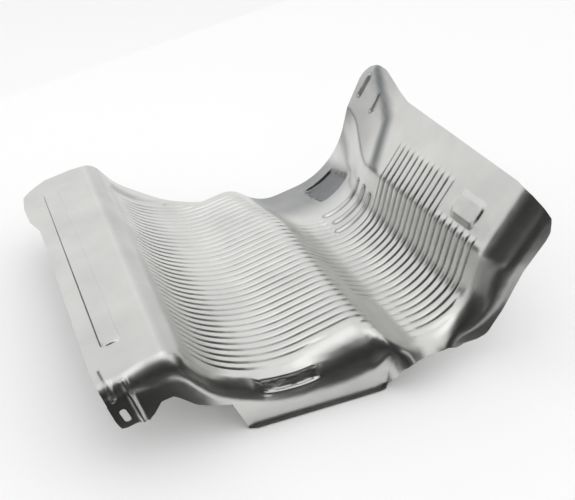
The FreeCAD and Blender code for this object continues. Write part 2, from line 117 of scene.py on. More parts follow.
def along(line, x):
    if x <= line[0][0]:
        return line[0][1]
    for (x0, y0), (x1, y1) in zip(line, line[1:]):
        if x <= x1:
            return mix(y0, y1, (x - x0) / (x1 - x0))
    return line[-1][1]


def leg_point(leg, t):
    kind, x, z, angle, length, bend = leg
    a0 = math.radians(angle)
    if kind == "line":
        return x + length * t * math.cos(a0), z + length * t * math.sin(a0), angle
    side = 1.0 if bend > 0.0 else -1.0
    a1 = a0 + math.radians(bend) * t
    x1 = x + side * length * (math.sin(a1) - math.sin(a0))
    z1 = z - side * length * (math.cos(a1) - math.cos(a0))
    return x1, z1, angle + bend * t


def walk(k):
    flare = smooth((FLARE_ROW - k) / (FLARE_ROW - BACK_ROW))
    x, z, angle = 0.0, 0.0, PLATE_SLOPE
    legs = {}
    for name, kind, size, turn in LEGS:
        length = mix(size[0], size[1], flare) * MM
        bend = mix(turn[0], turn[1], flare) if turn else 0.0
        legs[name] = (kind, x, z, angle, length, bend)
        x, z, angle = leg_point(legs[name], 1.0)
    kind, x, z, angle, radius, bend = legs["trough"]
    low_x = x - radius * math.sin(math.radians(angle))
    low_z = z + radius * math.cos(math.radians(angle)) - radius
    legs = {n: (kd, a - low_x, b - low_z, c, d, e) for n, (kd, a, b, c, d, e) in legs.items()}
    kind, x, z, angle, length, bend = legs["panel_top"]
    length = (along(PANEL_EDGE, k) * PITCH - z) / math.sin(math.radians(angle))
    legs["panel_top"] = (kind, x, z, angle, length, bend)
    return legs


FRONT_WALK = walk(ROLL_ROW)
SHOULDER = FRONT_WALK["shoulder"]
print("legs", len(LEGS), "shoulder at", round(SHOULDER[1] / PITCH, 2), round(SHOULDER[2] / PITCH, 2))

# %% [markdown]
# ## The camera
# The straight ribs are parallel, so they point to one vanishing place in the photograph. That gives
# the viewing angle, and the spacing of the ribs gives the lens. The camera is placed first,
# so every later step can be compared with the photograph.

# %% Camera
# The place is counted in rib pitches from the trough bottom.
CAMERA_AT = Vector((-18.989, -79.228, 42.170))
CAMERA_RISE = 30.391
CAMERA_TURN = -22.812
LENS = 44.1
FILM_WIDE = 36.0
camera_data = bpy.data.cameras.new("camera")
camera = bpy.data.objects.new("camera", camera_data)
bpy.context.scene.collection.objects.link(camera)
camera.location = CAMERA_AT * PITCH + TO_FRAME
camera.rotation_euler = (math.radians(90.0 - CAMERA_RISE), 0.0, math.radians(CAMERA_TURN))
camera_data.sensor_width = FILM_WIDE
camera_data.lens = LENS
camera_data.clip_start = 0.01
bpy.context.scene.camera = camera
print("camera at", [round(c, 3) for c in camera.location])

# %% [markdown]
# ## Edges of the sheet
# The sheet is trimmed along a slanted line at the back, its plate has a wider rear corner,
# and the front skirts hang down to an outline with a tab, a step and a hem. These edges are short
# lists of corners, counted in rib pitches, and each is read as a line from corner to corner.

# %% Edge outlines
BACK_EDGE = ((-11.2, -8.5), (-5.0, -8.5), (-3.3, -7.5), (-2.1, -6.5), (-0.9, -5.5), (0.6, -4.5), (3.0, -2.5))
PLATE_LEFT = ((-8.8, -15.7), (-7.7, -17.4), (-6.3, -18.7), (-2.9, -18.9), (0.8, -18.6), (4.0, -17.7),
              (32.4, -16.6), (34.0, -16.3), (35.4, -15.9))
# The hem lies on the floor, as far below the trough bottom as the frame's origin does.
HEM = -49.0 * MM / PITCH
LEFT_SKIRT = ((-15.9, 2.5), (-15.5, 1.0), (-15.1, 0.0), (-14.7, -0.15), (-13.5, 0.2), (-12.7, 0.1),
              (-12.2, 0.55), (-11.5, 1.7), (-10.4, 1.9), (-9.6, 1.2), (-8.6, 0.3), (-7.4, -0.25),
              (-5.15, -0.9), (-4.2, HEM), (9.4, HEM), (10.0, -3.95), (10.4, -3.55))
RIGHT_SKIRT = ((18.6, -1.41), (20.85, -1.3), (21.65, -0.9), (23.1, 1.6), (24.2, 4.2), (24.8, 5.6),
               (26.9, 8.6), (27.2, 9.4), (27.1, 10.4), (26.4, 13.3))
# Mouth of the valley: place across with the share of the full roll, then with the length of the lip.
MOUTH_ROLL = ((10.36, 1.0), (11.3, 0.7), (12.12, 0.38), (13.0, 0.33), (14.83, 0.3), (15.3, 0.33),
              (16.67, 0.5), (17.95, 1.0))
MOUTH_LIP = ((10.36, 3.25), (11.3, 1.25), (12.12, 0.8), (13.0, 0.42), (13.9, 0.17), (14.83, 0.12),
             (16.67, 0.17), (17.95, 0.9))
# Past the mouth the skirt leans out with the side wall: place across with the share of the full lean.
WALL_LEAN = ((16.67, 0.0), (17.95, 0.3), (19.05, 0.65), (20.26, 1.0))


# How far it is from a place, along a direction, to the farthest crossing of an outline.
def reach_to(line, px, pz, dx, dz):
    best = 0.0
    for (x0, z0), (x1, z1) in zip(line, line[1:]):
        ex, ez = x1 - x0, z1 - z0
        cross = dx * ez - dz * ex
        if abs(cross) < 1e-9:
            continue
        far = ((x0 - px) * ez - (z0 - pz) * ex) / cross
        part = ((x0 - px) * dz - (z0 - pz) * dx) / cross
        if -1e-6 <= part <= 1.000001 and far > best:
            best = far
    return best


print("hem at", round(HEM, 2), "pitches")

# %% [markdown]
# ## Rows and columns
# A sheet that is bent but never torn is a grid at heart. The columns follow the section and the rows
# follow the ribs, with more rows where the ribs are. The last rows run over the front roll and down
# the skirts. bmesh.ops.create_grid makes the flat grid, and each vertex is then moved to its place.

# %% Columns and rows
COLUMN_STEPS = {"shoulder": 7, "wall_top": 2, "wall_low": 3, "haunch": 4, "trough": 11, "rise": 5,
                "crest": 7, "flank": 3, "valley": 8, "floor": 5, "foot_low": 10, "foot": 9, "steep": 5,
                "bend": 4, "panel_low": 4, "panel_rib": 9, "panel_fade": 3, "panel_top": 7}
# The plate has close columns along both long edges of its raised strip.
PLATE_STEPS = ((0.2, 4), (0.35, 4), (0.55, 4), (0.7, 4), (1.0, 6))
columns = [("plate", 0.0)]
for stop, count in PLATE_STEPS:
    begin = columns[-1][1]
    columns += [("plate", mix(begin, stop, (n + 1.0) / count)) for n in range(count)]
for name, count in COLUMN_STEPS.items():
    columns += [(name, (n + 1.0) / count) for n in range(count)]
# The plain back has a few rows, and each rib has close rows beside its groove.
BACK_ROWS = (-8.8, -8.6, -8.3, -7.9, -7.3, -6.7, -6.0, -5.5, -5.0, -4.5)
ROW_PARTS = (0.0, 0.07, 0.16, 0.3, 0.7, 0.84, 0.93)
FIRST_RIB = -4
FRONT_ROWS = 9
LIP_PARTS = (0.25, 0.5, 1.0)
rows = [("flat", k) for k in BACK_ROWS]
rows += [("flat", rib + part) for rib in range(FIRST_RIB, int(ROLL_ROW)) for part in ROW_PARTS]
rows += [("flat", ROLL_ROW)]
rows += [(zone, (n + 1.0) / FRONT_ROWS) for zone in ("roll", "skirt") for n in range(FRONT_ROWS)]
rows += [("lip", part) for part in LIP_PARTS]
print("columns", len(columns), "rows", len(rows))

# %% [markdown]
# ## Ribs
# The die presses narrow grooves and leaves wide ribs between them. Most grooves of the trough fade out
# on the crest, and a few run on down its flank. New ones start in the valley, and most of those climb
# the side wall. The rib weight says how much of a groove is left at a place, so every groove
# can fade softly at its ends.

# %% Ribs
# Rib numbers where a group of grooves begins or ends.
BADGE_RIB = 24.2
CROSS_RIBS = (11.5, 18.5)
WALL_RIB = 13.0
SHORT_RIB = 8.0
PATCH_RIB = 25.5
LAST_RIB = 99.0
# Grooves on the panel are shallower, and all grooves fade out before the back edge and the front roll.
# The gaps and fades are in rib pitches.
PANEL_DEPTH = 0.85
BAND_FADE = 0.3
BACK_GAP = 0.9
BACK_FADE = 0.8
FRONT_GAP = 0.1
FRONT_FADE = 0.35
GROOVE_POWER = 12


def band(k, low, high):
    return smooth((k - low) / BAND_FADE + 1.0) * smooth((high - k) / BAND_FADE + 1.0)


def right_weight(name, t, k):
    wall = band(k, WALL_RIB, LAST_RIB)
    if name == "valley":
        whole = band(k, SHORT_RIB, PATCH_RIB) * smooth(t / 0.3)
        return max(whole, band(k, PATCH_RIB, LAST_RIB) * smooth((t - 0.7) / 0.2))
    if name == "floor":
        return band(k, SHORT_RIB, LAST_RIB)
    if name == "foot_low":
        return max(wall, band(k, SHORT_RIB, WALL_RIB) * smooth(1.0 - t / 0.3))
    if name in ("foot", "steep", "bend"):
        return wall
    short = band(k, BADGE_RIB, LAST_RIB)
    if name == "panel_low":
        return wall * mix(1.0, smooth(1.0 - t / 0.6), short)
    if name == "panel_rib":
        return PANEL_DEPTH * wall * (1.0 - short)
    if name == "panel_fade":
        return PANEL_DEPTH * wall * (1.0 - short) * smooth(1.0 - t)
    return 0.0


def rib_weight(name, t, x, k):
    cross = band(k, CROSS_RIBS[0], CROSS_RIBS[1])
    if name == "wall_low":
        weight = smooth(t)
    elif name in ("haunch", "trough", "rise"):
        weight = 1.0
    elif name == "crest":
        weight = mix(smooth((1.0 - t) / 0.3), 1.0, cross)
    elif name == "flank":
        weight = cross * (0.55 + 0.45 * abs(2.0 * t - 1.0))
    elif name == "valley":
        weight = max(right_weight(name, t, k), cross)
    else:
        weight = right_weight(name, t, k)
    margin = (k - along(BACK_EDGE, x / PITCH) - BACK_GAP) / BACK_FADE
    front = roll_start(x)[1] / PITCH + FRONT_GAP
    return weight * min(smooth(margin), smooth((front - k) / FRONT_FADE))


def rib_wave(k):
    return 1.0 - 2.0 * math.cos(math.pi * k) ** GROOVE_POWER


print("wave on a rib and in a groove", rib_wave(0.5), rib_wave(1.0))

# %% [markdown]
# ## Raised strip and square
# A long strip stiffens the plate, and a square pad stands on the panel. Both are flat with a soft edge.
# A rounded box is measured by the distance to its outline, so one short formula raises both,
# and the plate's columns are pulled to the strip's two long edges to keep them crisp.

# %% Flat features
STRIP = {"mid": (-14.9, 12.2), "half": (11.5 * MM, 202.5 * MM), "turn": math.radians(2.1), "round": 8.0 * MM}
BADGE = {"up": 28.0 * MM, "row": 27.8, "half": (16.5 * MM, 24.0 * MM), "round": 8.0 * MM, "high": 2.6 * MM}
EMBOSS_HIGH = 1.8 * MM
EMBOSS_EDGE = 1.6 * MM
STRIP_INSIDE = 1.9 * MM
STRIP_OUTSIDE = 0.4 * MM


# Distance to the outline of a rounded box, less than nothing inside it.
def round_box(u, v, half, corner):
    qu = abs(u) - half[0] + corner
    qv = abs(v) - half[1] + corner
    outside = math.hypot(max(qu, 0.0), max(qv, 0.0))
    return outside + min(max(qu, qv), 0.0) - corner


def emboss_lift(name, x, k):
    if name == "plate":
        du = (x - STRIP["mid"][0] * PITCH) / math.cos(math.radians(PLATE_SLOPE))
        dv = (STRIP["mid"][1] - k) * PITCH
        c, s = math.cos(STRIP["turn"]), math.sin(STRIP["turn"])
        gap = round_box(du * c + dv * s, dv * c - du * s, STRIP["half"], STRIP["round"])
        return EMBOSS_HIGH * smooth(-gap / EMBOSS_EDGE)
    if name in ("panel_low", "panel_rib", "panel_fade"):
        start = FRONT_WALK["panel_low"]
        up = (x - start[1]) / math.cos(math.radians(start[3])) - BADGE["up"]
        gap = round_box(up, (BADGE["row"] - k) * PITCH, BADGE["half"], BADGE["round"])
        return BADGE["high"] * smooth(-gap / EMBOSS_EDGE)
    return 0.0


def strip_side(k, side):
    dv = (STRIP["mid"][1] - k) * PITCH
    du = (side * STRIP["half"][0] - dv * math.sin(STRIP["turn"])) / math.cos(STRIP["turn"])
    return STRIP["mid"][0] * PITCH + du * math.cos(math.radians(PLATE_SLOPE))


def plate_x(t, k):
    left = along(PLATE_LEFT, k) * PITCH
    one, two = strip_side(k, -1.0), strip_side(k, 1.0)
    edges = (one - STRIP_OUTSIDE, one + STRIP_INSIDE, two - STRIP_INSIDE, two + STRIP_OUTSIDE)
    stops = [(0.0, left)]
    for (share, count), x in zip(PLATE_STEPS, edges):
        stops.append((share, max(x, stops[-1][1] + MM)))
    return along(stops + [(1.0, SHOULDER[1])], t)


print("strip", round(2.0 * STRIP["half"][1] / MM), "mm long")

# %% [markdown]
# ## Small pressings
# The die also leaves a pocket, three wide beads, two bridges and a soft fold on the side wall,
# and on the front roll an oblong window and two stiffening beads by the tab. A sheet keeps its lengths
# when it is bent, so each pressing is drawn on the unrolled sheet, as bars and round boxes,
# and every vertex asks how far it is from them.

# %% Small pressings
LEG_NAMES = [leg[0] for leg in LEGS]
RIGHT_LEGS = LEG_NAMES[LEG_NAMES.index("valley"):]
ROLL_REACH = ROLL_RADIUS * math.pi / 2.0
FRONT_RUN = ROLL_ROW * PITCH
# Place across with the radius of the front roll in mm. It is tight at the tab and at the valley's mouth,
# and wide before the hump and the side wall.
ROLL_SIZE = ((-14.2, 18.0), (-12.6, 26.0), (-4.0, 26.0), (0.0, 31.0), (3.0, 37.0), (5.5, 48.0),
             (8.7, 48.0), (10.36, 18.0), (17.6, 18.0), (20.4, 38.0))


def run_at(name, t, legs):
    total = 0.0
    for leg in RIGHT_LEGS:
        kind, x, z, angle, length, bend = legs[leg]
        size = length if kind == "line" else length * math.radians(abs(bend))
        if leg == name:
            return total + size * t
        total += size
    return total


def unrolled(name, t, k):
    return Vector((run_at(name, t, walk(k)), k * PITCH))


# A bar has round ends. Its half width and height, and a box's sizes below, are in mm.
def make_bar(start, end, half, high):
    return start, end, half * MM, high * MM


def make_box(corners, corner, high, rim, slope):
    a, b, c, d = corners
    across = (b - a + c - d) / 2.0
    down = (d - a + c - b) / 2.0
    half = (across.length / 2.0, down.length / 2.0)
    return (a + b + c + d) / 4.0, across.normalized(), half, corner * MM, high * MM, rim * MM, slope * MM


print("legs of the side wall", len(RIGHT_LEGS))

# %% [markdown]
# ## Places of the pressings
# On the side wall a place is named by its leg, the share of that leg and the rib number.
# At the front it is measured in mm across the sheet and along it, over the roll.
# Three beads and two bridges come first, then the two bars of the soft fold.

# %% Places of the pressings
BEADS = 5
WALL_BARS = [make_bar(unrolled(*a), unrolled(*b), half, high) for a, b, half, high in (
    (("foot_low", 0.28, 7.3), ("steep", 0.15, 8.05), 6.0, 2.2),
    (("foot_low", 0.40, 9.5), ("steep", 0.20, 9.95), 6.0, 2.2),
    (("foot_low", 0.25, 11.4), ("steep", 0.07, 11.55), 6.0, 2.2),
    (("panel_top", 0.58, -0.5), ("panel_rib", 0.85, -0.95), 7.5, 4.0),
    (("panel_top", 0.42, 3.8), ("panel_fade", 0.5, 3.75), 7.5, 4.0),
    (("panel_top", 0.9, 0.6), ("panel_top", 0.23, 8.2), 20.0, 1.6),
    (("panel_top", 0.23, 8.2), ("panel_low", 0.15, 10.7), 20.0, 1.6))]
POCKET = (("foot_low", 0.14, -0.3), ("foot", 0.27, -0.7), ("foot", 0.37, 4.3), ("foot_low", 0.24, 3.9))
WALL_BOXES = [make_box([unrolled(*p) for p in POCKET], corner=9.0, high=-3.2, rim=1.6, slope=5.0)]
FRONT_BARS = [make_bar(Vector(a) * MM, Vector(b) * MM, half, high) for a, b, half, high in (
    ((-189.0, 381.0), (-184.5, 420.0), 4.5, 1.5),
    ((-172.0, 407.0), (-156.0, 463.0), 4.5, 2.4))]
WINDOW = ((-29.6, 398.0), (36.8, 395.6), (41.8, 406.8), (-27.5, 410.8))
FRONT_BOXES = [make_box([Vector(p) * MM for p in WINDOW], corner=3.0, high=-3.4, rim=1.0, slope=2.5)]


def bar_gap(spot, bar):
    start, end, half, high = bar
    line = end - start
    part = min(1.0, max(0.0, (spot - start).dot(line) / line.length_squared))
    return (spot - start - line * part).length - half


def box_gap(spot, box):
    mid, axis, half, corner = box[:4]
    off = spot - mid
    return round_box(off.dot(axis), off.y * axis.x - off.x * axis.y, half, corner)


def press_lift(spot, bars, boxes):
    lift = 0.0
    for bar in bars:
        lift = max(lift, bar[3] * smooth(-bar_gap(spot, bar) / bar[2]))
    for box in boxes:
        gap = box_gap(spot, box)
        lift += box[4] * smooth(-gap / box[6]) + box[5] * smooth(1.0 - abs(gap - MM) / (box[6] + MM))
    return lift


def press_gap(spot, bars, boxes):
    gaps = [abs(bar_gap(spot, bar) + bar[2] / 2.0) - bar[2] / 2.0 for bar in bars]
    return min(gaps + [abs(box_gap(spot, box)) for box in boxes])


print("pressings", len(WALL_BARS) + len(WALL_BOXES) + len(FRONT_BARS) + len(FRONT_BOXES))

# %% [markdown]
# ## Placing the flat rows
# On the flat rows a vertex lies on the section and moves out along its normal by the rib or pressing.
# A row that would lie behind the trimmed back edge stops there, and one past the start of the roll
# is placed on the roll.

# %% Flat rows
# Along the back the plate's edge steps forward a little on its way to the shoulder.
PLATE_BACK = -8.8
PLATE_STEP = 0.3
PLATE_STEP_AT = -12.6
PLATE_STEP_WIDE = 1.4
row_walks = {}


def legs_at(k):
    if k not in row_walks:
        row_walks[k] = walk(k)
    return row_walks[k]


def section_point(name, t, k, legs):
    if name == "plate":
        x = plate_x(t, k)
        z = SHOULDER[2] + (x - SHOULDER[1]) * math.tan(math.radians(PLATE_SLOPE))
        return x, z, PLATE_SLOPE
    return leg_point(legs[name], t)


def flat_place(name, t, k):
    legs = legs_at(k)
    x, z, angle = section_point(name, t, k, legs)
    edge = along(BACK_EDGE, x / PITCH)
    if name == "plate":
        edge = PLATE_BACK + PLATE_STEP * smooth((x / PITCH - PLATE_STEP_AT) / PLATE_STEP_WIDE)
    k = max(k, edge)
    run = k * PITCH
    if run > roll_start(x)[1]:
        return roll_place(name, t, run)[0]
    a = math.radians(angle)
    lift = RIB_HALF * rib_weight(name, t, x, k) * rib_wave(k) + emboss_lift(name, x, k)
    if name in RIGHT_LEGS:
        lift += press_lift(Vector((run_at(name, t, legs), k * PITCH)), WALL_BARS, WALL_BOXES)
    elif name == "plate":
        lift += press_lift(Vector((x, k * PITCH)), FRONT_BARS, ())
    return Vector((x - math.sin(a) * lift, -k * PITCH, z + math.cos(a) * lift))


print("raised square stands", round(BADGE["high"] / MM, 1), "mm high")

# %% [markdown]
# ## Placing the front roll
# On the roll a vertex turns through a quarter circle. At the mouth of the valley it turns only a little,
# so the floor runs out to the edge and water can drain. The roll is wider before the hump
# and the side wall, so it starts further back there and still ends in one plane.

# %% Front roll


def roll_start(x):
    radius = along(ROLL_SIZE, x / PITCH) * MM
    return radius, FRONT_RUN + ROLL_RADIUS - radius


def roll_place(name, t, run):
    row = run / PITCH
    x, z, angle = section_point(name, t, row, legs_at(row))
    radius, start = roll_start(x)
    part = max(0.0, (run - start) / (FRONT_RUN + ROLL_REACH - start))
    lean = math.radians(SKIRT_LEAN * along(WALL_LEAN, x / PITCH))
    down = Vector((math.sin(lean), 0.0, -math.cos(lean)))
    full = math.radians(90.0) * along(MOUTH_ROLL, x / PITCH)
    turn = full * part
    bend = radius * math.pi / 2.0 / full
    forward = Vector((0.0, -1.0, 0.0))
    go = down * math.sin(turn) + forward * math.cos(turn)
    out = forward * math.sin(turn) - down * math.cos(turn)
    place = Vector((x, -start - bend * math.sin(turn), z)) + down * bend * (1.0 - math.cos(turn))
    return place + out * press_lift(Vector((x, run)), FRONT_BARS, FRONT_BOXES), go, x / PITCH


print("roll reaches", round(ROLL_REACH / MM, 1), "mm round the front")

# %% [markdown]
# ## Placing the skirts
# Below the roll the sheet hangs straight down to its outline, and the hem turns out at the bottom.
# A pressing that runs over the roll goes on down the skirt.

# %% Skirts
LIP_REACH = 5.0 * MM
HEM_SPAN = (-4.2, 10.6)
HEM_FADE = 0.6


def skirt_place(name, t, part, lip):
    place, go, across = roll_place(name, t, FRONT_RUN + ROLL_REACH)
    if across <= MOUTH_LIP[0][0]:
        length = max(0.0, place.z - along(LEFT_SKIRT, place.x / PITCH) * PITCH)
    elif across < MOUTH_LIP[-1][0]:
        length = PITCH * along(MOUTH_LIP, across)
    else:
        length = PITCH * reach_to(RIGHT_SKIRT, place.x / PITCH, place.z / PITCH, go.x, go.z)
    hem = smooth((across - HEM_SPAN[0]) / HEM_FADE) * smooth((HEM_SPAN[1] - across) / HEM_FADE)
    out = LIP_REACH * lip * hem
    if part > 0.0:
        here = Vector((place.x, FRONT_RUN + ROLL_REACH))
        out -= press_lift(here, FRONT_BARS, ())
        out += press_lift(here + Vector((0.0, length * part)), FRONT_BARS, ())
    return place + go * length * part + Vector((0.0, -out, 0.0))


def vertex_place(column, row):
    name, t = column
    zone, value = row
    if zone == "flat":
        return flat_place(name, t, value)
    if zone == "roll":
        return roll_place(name, t, FRONT_RUN + ROLL_REACH * value)[0]
    if zone == "skirt":
        return skirt_place(name, t, value, 0.0)
    return skirt_place(name, t, 1.0, value)


print("hem turns out", round(LIP_REACH / MM, 1), "mm")

# %% [markdown]
# ## Finer faces round the pressings
# The grid is fine enough for the ribs. Round the small pressings the faces are divided once more,
# while the grid is still flat, so their edges stay crisp. A place on the flat grid is first read back
# as a column and a row, also where it lies between two of them.

# %% Finer faces
ON_LINE = 1e-4
FINE_WALL = 2.5 * MM
FINE_FRONT = 3.0 * MM
SKIRT_LONG = 45.0 * MM


def step_at(steps, place):
    low = min(int(place + ON_LINE), len(steps) - 2)
    here, after = steps[low], steps[low + 1]
    begin = here[1] if here[0] == after[0] else 0.0
    if place - low < ON_LINE:
        return here
    return after[0], mix(begin, after[1], min(1.0, place - low))


def grid_steps(spot):
    across = (spot.x + 1.0) / 2.0 * (len(columns) - 1)
    down = (1.0 - spot.y) / 2.0 * (len(rows) - 1)
    return step_at(columns, across), step_at(rows, down)


def near_pressing(spot):
    (name, t), (zone, value) = grid_steps(spot)
    if zone == "lip":
        return False
    if name in RIGHT_LEGS:
        here = Vector((run_at(name, t, legs_at(value)), value * PITCH))
        return zone == "flat" and press_gap(here, WALL_BARS[:BEADS], WALL_BOXES) < FINE_WALL
    x = section_point(name, t, ROLL_ROW, FRONT_WALK)[0]
    run = value * PITCH
    if zone == "roll":
        run = FRONT_RUN + ROLL_REACH * value
    if zone == "skirt":
        run = FRONT_RUN + ROLL_REACH + SKIRT_LONG * value
    return press_gap(Vector((x, run)), FRONT_BARS, FRONT_BOXES) < FINE_FRONT


print("middle of the grid", grid_steps(Vector((0.0, 0.0))))

# %% [markdown]
# ## Painted shade
# Shade and dark reflections are painted into the sheet's colour: the shoulder, the pocket,
# the soft fold, the rims of the beads and the tall rear corner are painted darker, and the plate a very
# little. Each vertex keeps its own painted shade from 0 to 1, and the finish reads it later.

# %% Painted shade
# The plate is evenly a very little darker.
PLATE_DARKER = 0.05
# Painted shade on the shoulder, for the dark patches it reflects.
SHOULDER_SHADE = 0.22
# Painted shade on the side wall: in the recessed pocket, along the soft fold, in the creases round the
# beads, low on the back of the wall and on the rear corner.
POCKET_SHADE = 0.75
FOLD_SHADE = 0.75
RIM_SHADE = 0.6
BACK_SHADE = 0.52
EAR_SHADE = 0.24
POCKET_EDGE = 5.0 * MM
FOLD_WIDE = 18.0 * MM
RIM_WIDE = 2.2 * MM
# The painted shade on the back of the wall ends at a rib number, and fades upwards from a place on the foot.
BACK_END = 7.0
BACK_SOFT = 5.0
BACK_TOP = unrolled("foot", 0.6, 2.0).x
BACK_RISE = 20.0 * MM
EAR_END = 9.0
EAR_SOFT = 4.0
EAR_LEGS = RIGHT_LEGS[RIGHT_LEGS.index("bend"):]


# Painted shade on the side wall: the darkest of the pocket, the fold, the bead rims, the back and the rear
# corner.
def wall_painted_shade(name, spot, k):
    fold = min(bar_gap(spot, bar) + bar[2] for bar in WALL_BARS[BEADS:])
    rim = min(abs(bar_gap(spot, bar) + MM) for bar in WALL_BARS[:BEADS])
    low = smooth((BACK_TOP - spot.x) / BACK_RISE)
    return max(
        POCKET_SHADE * smooth(-box_gap(spot, WALL_BOXES[0]) / POCKET_EDGE),
        FOLD_SHADE * smooth(1.0 - fold / FOLD_WIDE),
        RIM_SHADE * smooth(1.0 - rim / RIM_WIDE),
        BACK_SHADE * smooth((BACK_END - k) / BACK_SOFT) * low,
        EAR_SHADE * smooth((EAR_END - k) / EAR_SOFT) if name in EAR_LEGS else 0.0)


# Painted shade of a vertex, from 0 to 1; none on the roll and the skirts.
def painted_shade_at(column, row):
    name, t = column
    zone, k = row
    if zone != "flat":
        return 0.0
    if name in RIGHT_LEGS:
        return wall_painted_shade(name, Vector((run_at(name, t, legs_at(k)), k * PITCH)), k)
    if name == "plate":
        return PLATE_DARKER
    # Painted shade over the shoulder and its wall, fading in and out at their ends.
    if name == "shoulder":
        return SHOULDER_SHADE * smooth((t - 0.1) / 0.3)
    if name == "wall_top":
        return SHOULDER_SHADE
    return SHOULDER_SHADE * smooth(1.0 - t) if name == "wall_low" else 0.0


print("stained legs of the rear corner", len(EAR_LEGS))

# %% [markdown]
# ## Making the sheet
# The flat grid is made, its faces round the pressings are divided, and each vertex gets its painted shade
# and goes to its place. Where rows meet at a trimmed edge their doubles are merged.
# Solidify gives the sheet its thickness, downwards from the upper face.

# %% The pressed sheet
MERGE = 0.02 * MM
SLIVER = 0.01 * MM
sheet_mesh = bpy.data.meshes.new("shield_sheet")
shaping = bmesh.new()
bmesh.ops.create_grid(shaping, x_segments=len(columns) - 1, y_segments=len(rows) - 1, size=1.0)
fine = {edge for face in shaping.faces if near_pressing(face.calc_center_median()) for edge in face.edges}
bmesh.ops.subdivide_edges(shaping, edges=list(fine), cuts=2, use_grid_fill=True)
# Each vertex keeps an amount of painted shade, a darkening of its colour for shade and dark reflections.
painted_shade = shaping.verts.layers.float.new("painted_shade")
for vert in shaping.verts:
    column, row = grid_steps(vert.co)
    vert[painted_shade] = painted_shade_at(column, row)
    vert.co = vertex_place(column, row) + TO_FRAME
bmesh.ops.remove_doubles(shaping, verts=shaping.verts, dist=MERGE)
bmesh.ops.dissolve_degenerate(shaping, edges=shaping.edges, dist=SLIVER)
shaping.to_mesh(sheet_mesh)
print("sheet", len(sheet_mesh.vertices), "vertices", len(sheet_mesh.polygons), "faces")
shaping.free()
sheet = bpy.data.objects.new("shield_sheet", sheet_mesh)
bpy.context.scene.collection.objects.link(sheet)
wall = sheet.modifiers.new("thickness", "SOLIDIFY")
wall.thickness = THICK
wall.offset = -1.0

# %% [markdown]
# ## The bolt slot
# The tab has one long slot for a screw. A slot is a stadium shape: a cylinder is made, its two halves
# are moved apart, and a Boolean takes it out of the sheet. The result becomes the sheet's own mesh,
# smooth everywhere but at the cut edges.

# %% Slot
SLOT_AT = Vector((-224.8, -251.559, 64.0)) * MM
SLOT_RADIUS = 3.5 * MM
SLOT_LONG = 18.0 * MM
SLOT_LEAN = math.radians(19.0)
CUT_DEPTH = 20.0 * MM
SHARP = math.radians(48.0)
half_straight = SLOT_LONG / 2.0 - SLOT_RADIUS
cutter_mesh = bpy.data.meshes.new("slot_cutter")
shaping = bmesh.new()
bmesh.ops.create_cone(shaping, cap_ends=True, segments=32, radius1=SLOT_RADIUS, radius2=SLOT_RADIUS,
                      depth=CUT_DEPTH)
for vert in shaping.verts:
    if abs(vert.co.y) > 1e-6:
        vert.co.y += math.copysign(half_straight, vert.co.y)
shaping.to_mesh(cutter_mesh)
shaping.free()
cutter = bpy.data.objects.new("slot_cutter", cutter_mesh)
bpy.context.scene.collection.objects.link(cutter)
cutter.rotation_euler = (math.radians(90.0), -SLOT_LEAN, 0.0)
cutter.location = SLOT_AT
hole = sheet.modifiers.new("slot", "BOOLEAN")
hole.operation = "DIFFERENCE"
hole.solver = "EXACT"
hole.object = cutter
bpy.context.view_layer.update()
solid = bpy.data.meshes.new_from_object(sheet.evaluated_get(bpy.context.evaluated_depsgraph_get()))
sheet.modifiers.clear()
sheet.data = solid
solid.name = "shield_sheet"
bpy.data.objects.remove(cutter)
solid.shade_smooth()
solid.set_sharp_from_angle(angle=SHARP)
print("solid sheet", sum(len(p.vertices) - 2 for p in solid.polygons), "triangles")
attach(sheet, "root")
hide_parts("fuel_tank_shield")

# %% [markdown]
# ## Bright mill aluminium
# The sheet is bare aluminium from the rolling mill. It is bright, with shade painted darker into its colour
# in places.
# The painted shade that each vertex keeps, and a faint patchy noise, mix a dark colour into the bright one.

# %% Aluminium
BRIGHT = (0.70, 0.70, 0.68, 1.0)
# Dark colour mixed in as painted shade by the vertex attribute, and as faint random patches by the noise.
DARK_SHADE_AND_PATCH = (0.08, 0.09, 0.10, 1.0)
PATCH_STAIN = 0.12
metal = bpy.data.materials.new("mill_aluminium")
metal.use_nodes = True
nodes = metal.node_tree.nodes
links = metal.node_tree.links
skin = nodes["Principled BSDF"]
skin.inputs["Metallic"].default_value = 1.0
# This reads each vertex's painted shade.
shade_paint = nodes.new("ShaderNodeAttribute")
shade_paint.attribute_name = "painted_shade"
tint = nodes.new("ShaderNodeMix")
tint.data_type = "RGBA"
tint.inputs["A"].default_value = BRIGHT
tint.inputs["B"].default_value = DARK_SHADE_AND_PATCH
links.new(tint.outputs["Result"], skin.inputs["Base Color"])
coords = nodes.new("ShaderNodeTexCoord")
smudge = nodes.new("ShaderNodeTexNoise")
smudge.inputs["Scale"].default_value = 14.0
smudge.inputs["Detail"].default_value = 4.0
links.new(coords.outputs["Object"], smudge.inputs["Vector"])
patchy = nodes.new("ShaderNodeMapRange")
patchy.inputs["From Min"].default_value = 0.35
patchy.inputs["From Max"].default_value = 0.70
patchy.inputs["To Min"].default_value = 0.0
patchy.inputs["To Max"].default_value = PATCH_STAIN
links.new(smudge.outputs["Fac"], patchy.inputs["Value"])
spread = nodes.new("ShaderNodeMath")
spread.operation = "MULTIPLY_ADD"
spread.inputs[1].default_value = 1.0
links.new(shade_paint.outputs["Fac"], spread.inputs[0])
links.new(patchy.outputs["Result"], spread.inputs[2])
links.new(spread.outputs["Value"], tint.inputs["Factor"])
sheet.data.materials.clear()
sheet.data.materials.append(metal)
print("material", metal.name)

# %% [markdown]
# ## Smudges, dents and rolling lines
# Bare sheet is bright, but not a mirror. Handling leaves soft smudges, which change its roughness.
# Thin sheet is never quite flat, so wide dents bend its reflections a little, and fine lines
# from the rolls run along it. Both are too shallow for geometry and go into a weak bump.

